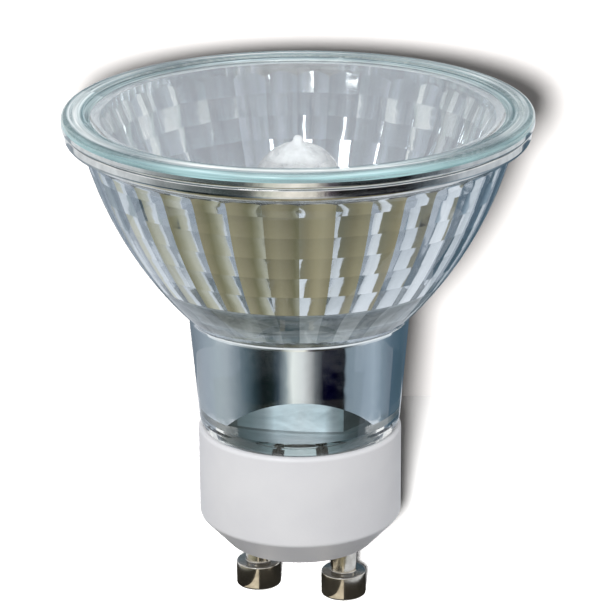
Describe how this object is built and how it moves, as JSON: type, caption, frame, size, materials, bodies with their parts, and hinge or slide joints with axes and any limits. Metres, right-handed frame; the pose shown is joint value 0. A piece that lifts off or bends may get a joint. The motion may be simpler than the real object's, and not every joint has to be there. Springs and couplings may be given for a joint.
{
  "type": "gu10 spotlight bulb",
  "caption": "Reflector spotlight bulb: clear front glass, fluted mirror bowl, thick glass neck and white ceramic base with twist-and-lock contact pins.",
  "frame": {"origin": "on the lamp's axis in the plane of the pins' ends", "axes": "+Z along the lamp's axis towards the front glass, contact pins on the X axis"},
  "size_m": [0.0506, 0.0506, 0.0561],
  "materials": {
    "reflector_glass": "pressed glass, aluminium mirror inside",
    "cover_glass": "clear pressed glass with a green edge",
    "adhesive": "cured adhesive",
    "white_ceramic": "fine matt ceramic",
    "cement": "grey cement",
    "quartz": "clear quartz",
    "tungsten": "drawn wire",
    "molybdenum": "foil and wire",
    "nickel_wire": "plain wire",
    "glass_fibre": "woven sleeve",
    "nickel_plate": "nickel plated"
  },
  "bodies": {
    "root": {"front_glass": "cover_glass", "lens_adhesive": "adhesive", "reflector": "reflector_glass", "base_cap": "white_ceramic", "base_cement": "cement", "capsule_cement": "cement", "capsule_envelope": "quartz", "fuse_tube": "quartz", "filament": "tungsten", "filament_support": "tungsten", "inner_lead_left": "tungsten", "inner_lead_right": "tungsten", "foil_left": "molybdenum", "foil_right": "molybdenum", "outer_lead_left": "molybdenum", "outer_lead_right": "molybdenum", "crimp_left": "nickel_wire", "crimp_right": "nickel_wire", "lead_wire_left": "nickel_wire", "lead_wire_right": "nickel_wire", "fuse_lead": "nickel_wire", "fuse_wire": "nickel_wire", "lead_sleeve": "glass_fibre", "contact_pin_left": "nickel_plate", "contact_pin_right": "nickel_plate"}
  },
  "joints": []
}
